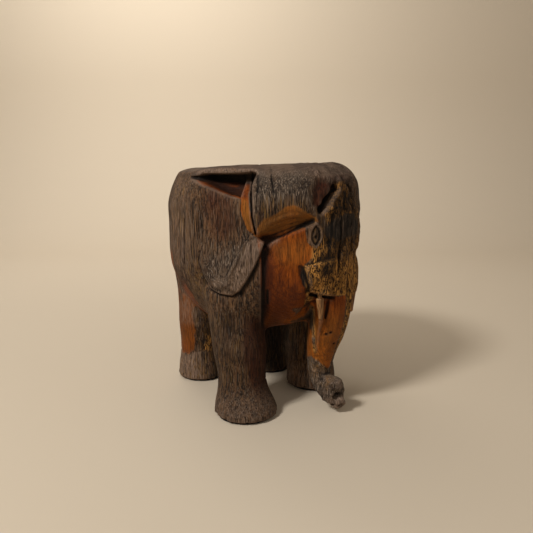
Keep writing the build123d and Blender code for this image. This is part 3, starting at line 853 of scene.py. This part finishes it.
def store_tones(block, mesh, sheets):
    """Marks each place of the surface with what time and the carver did to it, and with painted shade
    in its hollows and on faces turned from the light.
    """
    points, normals = triples(mesh.vertices, "co") / MM, triples(mesh.vertices, "normal")
    places = Places(points)
    outside = fade(places.share, 0.6, 0.75)
    tones = Tones(
        (name, np.clip(sheet.at(places.along, places.z), 0, 1) * outside) for name, sheet in sheets.items()
    )
    leg_tones(tones, places, normals)
    foreleg = fade(np.abs(places.along), LEG_EDGE - 3, LEG_EDGE + 2) * (places.x > 0)
    tones.take_off(["fresh"], foreleg * fade(places.z, 230, 215) * (places.x > 40))
    trunk = trunk_tones(tones, places)
    belly = fade(-normals[:, 2], 0.1, 0.6) * fade(places.z, 118, 140) * (1 - foreleg)
    belly *= fade(places.forward, 126, 114)
    for name in ("fresh", "ruddy"):
        tones.at_least(name, 0.8 * belly * (1 - trunk))
    # Painted shade in place of the orange where the chest runs back to the far leg.
    painted_shade = chest_shade_share(places)
    tones.take_off(["fresh", "ruddy", "bark"], painted_shade)
    tones.at_least("dark", 0.7 * painted_shade)
    # Blurred distances are above 0 where the wood stands out, and below it in a hollow.
    tight, wide = (block.sample(block.softened(size) - block.distance, points) for size in (3.0, 8.0))
    # Painted shade: the hollows darken by how far they sink below the blurred surface.
    tones["hollow_shade"] = fade(tight, -0.12, -0.9) + fade(wide, -0.6, -3.2)
    tones["wear"] = fade(tight, 0.25, 1.2)
    tones["end_grain"] = fade(normals[:, 2], 0.55, 0.9) * fade(places.z, 385, 400)
    tones["across"] = fade(np.abs(normals[:, 2]), 0.3, 0.75)
    for name, values in tones.items():
        store(mesh, name, values)


# --- Materials ---
def linear(colour):
    """An sRGB hex colour as linear red, green, blue and alpha."""
    channels = [int(colour[i : i + 2], 16) / 255 for i in (1, 3, 5)]
    return [c / 12.92 if c <= 0.04045 else ((c + 0.055) / 1.055) ** 2.4 for c in channels] + [1.0]


def add_node(tree, kind, inputs=None, output=None, **settings):
    """Adds a node with its settings and inputs, each a value or another node's output. Gives an output."""
    node = tree.nodes.new(kind)
    for name, value in settings.items():
        setattr(node, name, value)
    sockets = [socket for socket in node.inputs if socket.enabled]
    for name, value in (inputs or {}).items():
        socket = sockets[name] if isinstance(name, int) else next(s for s in sockets if s.name == name)
        if isinstance(value, bpy.types.NodeSocket):
            tree.links.new(value, socket)
        else:
            socket.default_value = value
    outputs = [socket for socket in node.outputs if socket.enabled]
    return next((socket for socket in outputs if output in (None, socket.name)), None)


def grain(tree, coords, across_mm, along_mm, detail=3.0, roughness=0.6):
    """Streaks along the log: about so wide across the grain and so long along it."""
    scale = (1, 1, across_mm / along_mm)
    stretched = add_node(tree, "ShaderNodeMapping", {"Vector": coords, "Scale": scale})
    inputs = {"Vector": stretched, "Scale": 1 / (across_mm * MM), "Detail": detail, "Roughness": roughness}
    return add_node(tree, "ShaderNodeTexNoise", inputs)


GRAINS = {  # millimetres across the grain and along it, detail and roughness
    "fine": (1.4, 20),
    "thread": (2.4, 50, 2.0),
    "streaks": (4.2, 60, 5.0, 0.8),
    "wide": (20, 130, 2.0),
    "clouds": (34, 50, 3.0),
    "mottle": (3.4, 13, 2.0),
}
DRIFT_MM = 45  # between two bends of the grain
SWAY_MM = 5  # the furthest that it wanders
PITH = (0.012, -0.006, 0)  # moves the middle of the growth rings off the log's, in metres
CRAZING_WIDTH = 0.062  # how far from a pattern's middle value its cracks reach
CHECK_WIDTH = 0.032  # and the drying checks
RELIEF_MM = 1.9  # from the grain's hollows to its ridges


def empty_material(name):
    """A new material and its node tree, without nodes."""
    material = bpy.data.materials.new(name)
    material.use_nodes = True
    material.node_tree.nodes.clear()
    return material, material.node_tree


def weathered_mango_wood(settings):
    """Mango wood left to weather: grey-brown raised grain outside, orange where the gouge went deep,
    yellow and black where bark clung, growth rings on the end grain and painted shade in every hollow."""
    material, tree = empty_material("weathered_mango_wood")
    node = partial(add_node, tree)
    names = (*TONES, "hollow_shade", "wear", "end_grain", "across")
    tone = {name: node("ShaderNodeAttribute", output="Fac", attribute_name=name) for name in names}

    def share(*parts):
        """The product of parts, each a number, an output, or an output with the range over which it rises
        and what it rises from and to."""
        result = None
        for part in parts:
            if isinstance(part, tuple):
                inputs = dict(zip(("Value", "From Min", "From Max", "To Min", "To Max"), part))
                part = node("ShaderNodeMapRange", inputs, interpolation_type="SMOOTHSTEP")
            if result is None:
                result = part
            else:
                result = node("ShaderNodeMath", {0: result, 1: part}, operation="MULTIPLY")
        return result

    def cracks(pattern, half_width):
        """1 along the lines where a pattern passes its middle."""
        level = node("ShaderNodeMath", {0: pattern, 1: 0.5}, operation="SUBTRACT")
        gap = node("ShaderNodeMath", {0: level}, operation="ABSOLUTE")
        return share((gap, half_width * 0.3, half_width, 1.0, 0.0))

    def ragged(name, low, high):
        """A tone whose edge the clouds break up."""
        edge = node("ShaderNodeMath", {0: tone[name], 1: shift}, operation="ADD")
        return share((edge, low, high))

    def layered(colour, *layers):
        """A colour with others laid over it, each by the product of its parts."""
        colour = linear(colour) if isinstance(colour, str) else colour
        for top, *parts in layers:
            top = linear(top) if isinstance(top, str) else top
            colour = node("ShaderNodeMix", {"Factor": share(*parts), "A": colour, "B": top}, data_type="RGBA")
        return colour

    # The grain wanders a few millimetres on its way up.
    place = node("ShaderNodeTexCoord", output="Object")
    drift = {"Vector": place, "Scale": 1 / (DRIFT_MM * MM), "Detail": 2.0}
    drift = node("ShaderNodeTexNoise", drift, "Color")
    sway = {0: drift, 1: (SWAY_MM * MM, SWAY_MM * MM, 0), 2: place}
    coords = node("ShaderNodeVectorMath", sway, operation="MULTIPLY_ADD")
    fine, thread, streaks, wide, clouds, mottle = (grain(tree, coords, *sizes) for sizes in GRAINS.values())
    pith = node("ShaderNodeMapping", {"Vector": coords, "Location": PITH})
    # A wave repeats every 2 pi / 20 of its coordinate at a scale of 1.
    scale = 2 * pi / (20 * settings.ring_mm * MM)
    ring = {"Vector": pith, "Scale": scale, "Distortion": 7.0, "Detail Scale": 0.3}
    ring = node("ShaderNodeTexWave", ring, "Fac", wave_type="RINGS", rings_direction="Z")

    # Weathered: dark and brown streaks, greyer on the cranium, ochre threads low down, silver raised grain.
    weathered = layered(
        settings.dark_hex,
        (settings.brown_hex, (streaks, 0.42, 0.58)),
        (settings.grey_hex, tone["grey"], (streaks, 0.38, 0.58, 0.3)),
        (settings.umber_hex, (wide, 0.45, 0.68, 0.0, 0.6)),
        (settings.faded_hex, (clouds, 0.5, 0.68, 0.0, 0.45)),
        (settings.ochre_hex, (tone["ochre"], 0.0, 1.0, 0.12, 0.8), (thread, 0.5, 0.66)),
        (settings.silver_hex, (tone["grey"], 0.0, 1.0, 0.35, 1.0), (fine, 0.52, 0.63)),
    )
    # Bare: orange with darker streaks and the growth rings that the gouge cut across.
    bare = layered(
        settings.deep_hex,
        (settings.orange_hex, (streaks, 0.36, 0.56)),
        (settings.deep_hex, (ring, 0.8, 1.0, 0.0, 0.55)),
        (settings.deep_hex, (clouds, 0.42, 0.6, 0.55, 0.0)),
        (settings.tan_hex, tone["ochre"], 0.6),
    )
    # Bark: ochre, crazed by fine dark lines and with black patches between.
    crazing = cracks(mottle, CRAZING_WIDTH)
    crazed = layered(
        settings.bark_hex,
        (settings.crack_hex, crazing),
        (settings.patch_hex, (streaks, 0.48, 0.6, 0.0, 0.55)),
    )
    shade = {0: ring, 1: -0.25, 2: share((clouds, 0.4, 0.6, 0.3, 0.8))}
    shade = node("ShaderNodeMath", shade, operation="MULTIPLY_ADD")
    ends = layered(settings.end_dark_hex, (settings.end_light_hex, shade))
    # Stains, painted shade, drying cracks, pale wear, painted highlights, the end grain and rubbed edges go
    # over all three.
    shift = share((clouds, 0.3, 0.7, -0.25, 0.25))
    fresh, bark = ragged("fresh", 0.35, 0.65), ragged("bark", 0.3, 0.7)
    lengthways = (tone["across"], 0.0, 1.0, 1.0, 0.0)
    checks = share(cracks(thread, CHECK_WIDTH), lengthways, (fresh, 0.0, 1.0, 0.9, 0.4))
    colour = layered(
        weathered,
        (bare, fresh),
        (crazed, bark),
        (settings.ruddy_hex, tone["ruddy"], (wide, 0.25, 0.55, 0.5, 0.9)),
        (settings.stain_and_shade_hex, tone["dark"], (streaks, 0.35, 0.6, 0.5, 0.95)),
        (settings.check_hex, checks),
        (settings.pale_hex, tone["pale"], (fine, 0.35, 0.6, 0.0, 0.8)),
        (ends, tone["end_grain"]),
        (settings.pale_hex, tone["wear"], 0.25),
        # The hollows' painted shade goes on last.
        (settings.hollow_shade_hex, tone["hollow_shade"], 0.85),
    )

    # The grain stands up, and the checks and the bark's cracks are cut in.
    height = share(fine, 0.5)
    for pattern, amount in ((streaks, 0.8), (checks, -0.5), (share(crazing, bark), -0.7), (ring, 0.12)):
        height = node("ShaderNodeMath", {0: pattern, 1: amount, 2: height}, operation="MULTIPLY_ADD")
    relief = node("ShaderNodeBump", {"Height": height, "Distance": RELIEF_MM * MM})
    dull = share((fresh, 0.0, 1.0, 0.75, 0.6))
    inputs = {"Base Color": colour, "Roughness": dull, "Specular IOR Level": 0.15, "Normal": relief}
    node("ShaderNodeOutputMaterial", {"Surface": node("ShaderNodeBsdfPrincipled", inputs)})
    return material


def plain_material(name, streaks_mm, hexes, roughness, relief_mm):
    """A material of two colours in streaks so wide and so long, with a relief of the same streaks."""
    material, tree = empty_material(name)
    coords = add_node(tree, "ShaderNodeTexCoord", output="Object")
    streaks = grain(tree, coords, *streaks_mm)
    share = {"Value": streaks, "From Min": 0.35, "From Max": 0.65}
    share = add_node(tree, "ShaderNodeMapRange", share, interpolation_type="SMOOTHSTEP")
    inputs = {"Factor": share, "A": linear(hexes[0]), "B": linear(hexes[1])}
    colour = add_node(tree, "ShaderNodeMix", inputs, data_type="RGBA")
    relief = add_node(tree, "ShaderNodeBump", {"Height": streaks, "Distance": relief_mm * MM})
    inputs = {"Base Color": colour, "Roughness": roughness, "Normal": relief, "Specular IOR Level": 0.3}
    shader = add_node(tree, "ShaderNodeBsdfPrincipled", inputs)
    add_node(tree, "ShaderNodeOutputMaterial", {"Surface": shader})
    return material


def worn_tusk_wood():
    """Offcut of the same tree, grey and orange by turns, rubbed smooth on its tip."""
    return plain_material("worn_tusk_wood", (2.4, 26), ("#4e3119", "#936a40"), 0.6, 0.7)


def black_sheet_rubber():
    """Cut sheet rubber: matt black, with a fine cloth-pressed tooth."""
    return plain_material("black_sheet_rubber", (0.8, 0.8), ("#0a0a0a", "#171615"), 0.85, 0.3)


def plain_backdrop(settings):
    """Matt paint on a plain sheet."""
    return plain_material("plain_backdrop", (400, 400), (settings.backdrop_hex,) * 2, 0.9, 0.0)


# --- Settings, operators and panel ---
def colour_setting(name, default):
    """A colour that a user can change, named for what has it."""
    return bpy.props.StringProperty(name=name, description=f"{name}, as an sRGB hex", default=default)


class StoolSettings(bpy.types.PropertyGroup):
    voxel: bpy.props.FloatProperty(
        name="Cell", description="Size of the carving's cells in millimetres", default=1.6, min=1.0, max=6.0
    )
    ring_mm: bpy.props.FloatProperty(
        name="Rings", description="Growth rings' distance in millimetres", default=5.5, min=1.0, max=20.0
    )
    dark_hex: colour_setting("Dark streaks in weathered wood", "#1c130c")
    brown_hex: colour_setting("Brown streaks in weathered wood", "#66482f")
    grey_hex: colour_setting("Greyest of the weathered wood", "#50453b")
    umber_hex: colour_setting("Broad dark bands in weathered wood", "#2b1c12")
    faded_hex: colour_setting("Clouds where weathered wood faded", "#69503a")
    ochre_hex: colour_setting("Ochre threads in weathered wood", "#6e5024")
    silver_hex: colour_setting("Silvered tips of the raised grain", "#8c7967")
    # Also used for painted shade beside the forelegs, in the ear's hollow and on the near foreleg.
    ruddy_hex: colour_setting("Ruddy stains in weathered wood, and ruddy painted shade", "#3e1705")
    # Real stains, and painted shade in cuts, the ear's hollow and on faces turned from the light.
    stain_and_shade_hex: colour_setting("Stains, and painted shade in cuts and on shaded faces", "#15110e")
    check_hex: colour_setting("Fine drying checks along the grain", "#140d08")
    # Colour of the shade painted into the hollows.
    hollow_shade_hex: colour_setting("Painted shade in the hollows", "#0d0805")
    orange_hex: colour_setting("Wood that the gouge laid bare", "#994b0a")
    deep_hex: colour_setting("Dark streaks in the bare wood", "#582400")
    tan_hex: colour_setting("Bare wood that turned ochre", "#8a6026")
    bark_hex: colour_setting("Ochre of the bark that still clings", "#b9823f")
    crack_hex: colour_setting("Fine lines that craze the bark", "#120c07")
    patch_hex: colour_setting("Dark patches of the bark", "#33271b")
    end_dark_hex: colour_setting("Dark rings of the seat's end grain", "#43342a")
    end_light_hex: colour_setting("Light rings of the seat's end grain", "#6b5746")
    # Also used for painted highlights on the seat's rim, under the brow and on the eye's lid.
    pale_hex: colour_setting("Wood rubbed pale at edges, and painted highlights", "#8a7260")
    backdrop_hex: colour_setting("Floor and backdrop", "#c5b6a0")
    light_hex: colour_setting("Light from all round", "#fff3e4")
    camera_place: bpy.props.FloatVectorProperty(
        name="Camera",
        description="Where the camera stands",
        default=(0.8837, -0.5745, 0.42),
        subtype="XYZ",
        unit="LENGTH",
    )
    camera_aim: bpy.props.FloatVectorProperty(
        name="Aim",
        description="The way the camera looks",
        default=(-0.8329, 0.5534, -0.1794),
        subtype="DIRECTION",
    )
    camera_lens: bpy.props.FloatProperty(
        name="Lens", description="Focal length on a 36 mm sensor", default=38.97, unit="CAMERA"
    )


SENSOR_MM = 36
FAR_CLIP = 20  # metres, past the backdrop
# The stage, in metres from the floor under the stool: away from the camera, to its right and up.
BACKDROP_HALF_WIDTH = 4.0
BACKDROP_FRONT = -3.0
BACKDROP_BACK = 1.6  # where the floor starts to bend up
BACKDROP_BEND = 0.9  # the bend's radius
BACKDROP_TOP = 3.2
WALL_SPOT = (BACKDROP_BACK + BACKDROP_BEND, -0.3, 0.9)
STOOL_SPOT = (0.0, 0.0, SEAT_HEIGHT * MM / 2)
LAMPS = {  # name: place, what it lights, size, watts
    "key": ((-1.5, -1.35, 2.0), STOOL_SPOT, 0.5, 58),
    "fill": ((-1.9, 0.6, 1.3), STOOL_SPOT, 1.8, 4),
    "wash": ((1.2, -0.7, 2.1), WALL_SPOT, 1.2, 33),
}
ROOM_LIGHT = 0.3


class STOOL_OT_camera(bpy.types.Operator):
    """Stands the camera in front of the elephant's right shoulder"""

    bl_idname = "stool.camera"
    bl_label = "Camera"

    def execute(self, context):
        settings = context.scene.stool
        data = bpy.data.cameras.new("camera")
        data.lens = settings.camera_lens
        data.sensor_width = SENSOR_MM
        data.clip_end = FAR_CLIP
        camera = add_object("camera", data)
        camera.location = settings.camera_place
        camera.rotation_euler = Vector(settings.camera_aim).to_track_quat("-Z", "Y").to_euler()
        context.scene.camera = camera
        return {"FINISHED"}


class STOOL_OT_log(bpy.types.Operator):
    """Carves the log and gives it its wood"""

    bl_idname = "stool.log"
    bl_label = "Carved log"

    def execute(self, context):
        settings = context.scene.stool
        block = Block("carved_log", settings.voxel)
        tones = tone_sheets()
        carve(block, tones)
        piece = add_object("elephant_log", mesh_from("elephant_log", *block.skin()))
        thinned(piece, TRIANGLES)
        store_tones(block, piece.data, tones)
        piece.data.materials.append(weathered_mango_wood(settings))
        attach(piece, "root")
        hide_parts("carved_log")
        return {"FINISHED"}


class STOOL_OT_fittings(bpy.types.Operator):
    """Gives the tusks their wood and the pads their rubber"""

    bl_idname = "stool.fittings"
    bl_label = "Tusks and pads"

    def execute(self, context):
        tusk_wood, rubber = worn_tusk_wood(), black_sheet_rubber()
        for name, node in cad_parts.items():
            if name != "carved_log":
                node.data.materials.clear()
                node.data.materials.append(tusk_wood if name.startswith("tusk") else rubber)
        return {"FINISHED"}


class STOOL_OT_stage(bpy.types.Operator):
    """Lays the floor, hangs the backdrop and sets the lights"""

    bl_idname = "stool.stage"
    bl_label = "Stage"

    def execute(self, context):
        settings = context.scene.stool
        away = Vector((settings.camera_aim[0], settings.camera_aim[1], 0)).normalized()
        across = Vector((away.y, -away.x, 0))

        def spot(far, right, up):
            return away * far + across * right + Vector((0, 0, up))

        line = [(BACKDROP_FRONT, 0.0)]
        for angle in map(radians, range(0, 91, 10)):
            line.append((BACKDROP_BACK + BACKDROP_BEND * sin(angle), BACKDROP_BEND * (1 - cos(angle))))
        line.append((BACKDROP_BACK + BACKDROP_BEND, BACKDROP_TOP))
        sides = (BACKDROP_HALF_WIDTH, -BACKDROP_HALF_WIDTH)
        faces = [(2 * i, 2 * i + 1, 2 * i + 3, 2 * i + 2) for i in range(len(line) - 1)]
        mesh = bpy.data.meshes.new("backdrop")
        mesh.from_pydata([spot(far, side, up) for far, up in line for side in sides], [], faces)
        mesh.shade_smooth()
        mesh.materials.append(plain_backdrop(settings))
        add_object("backdrop", mesh)

        for name, (place, aim, size, watts) in LAMPS.items():
            data = bpy.data.lights.new(name, "AREA")
            data.shape = "DISK"
            data.size = size
            data.energy = watts
            lamp = add_object(name, data)
            lamp.location = spot(*place)
            lamp.rotation_euler = (spot(*aim) - spot(*place)).to_track_quat("-Z", "Y").to_euler()
        world = bpy.data.worlds.new("room")
        world.use_nodes = True
        background = world.node_tree.nodes["Background"]
        background.inputs["Color"].default_value = linear(settings.light_hex)
        background.inputs["Strength"].default_value = ROOM_LIGHT
        context.scene.world = world
        context.scene.view_settings.view_transform = "Standard"
        return {"FINISHED"}


class STOOL_PT_panel(bpy.types.Panel):
    bl_idname = "STOOL_PT_panel"
    bl_label = "Elephant Stool"
    bl_space_type = "VIEW_3D"
    bl_region_type = "UI"
    bl_category = "Elephant Stool"

    def draw(self, context):
        for name in StoolSettings.__annotations__:
            self.layout.prop(context.scene.stool, name)
        for operator in OPERATORS:
            self.layout.operator(operator.bl_idname)


OPERATORS = (STOOL_OT_camera, STOOL_OT_log, STOOL_OT_fittings, STOOL_OT_stage)
CLASSES = (StoolSettings, *OPERATORS, STOOL_PT_panel)


def register():
    for cls in CLASSES:
        bpy.utils.register_class(cls)
    bpy.types.Scene.stool = bpy.props.PointerProperty(type=StoolSettings)


def unregister():
    del bpy.types.Scene.stool
    for cls in reversed(CLASSES):
        bpy.utils.unregister_class(cls)


def main():
    register()
    bpy.ops.stool.camera()
    bpy.ops.stool.log()
    bpy.ops.stool.fittings()
    bpy.ops.stool.stage()


if __name__ == "__main__":
    main()
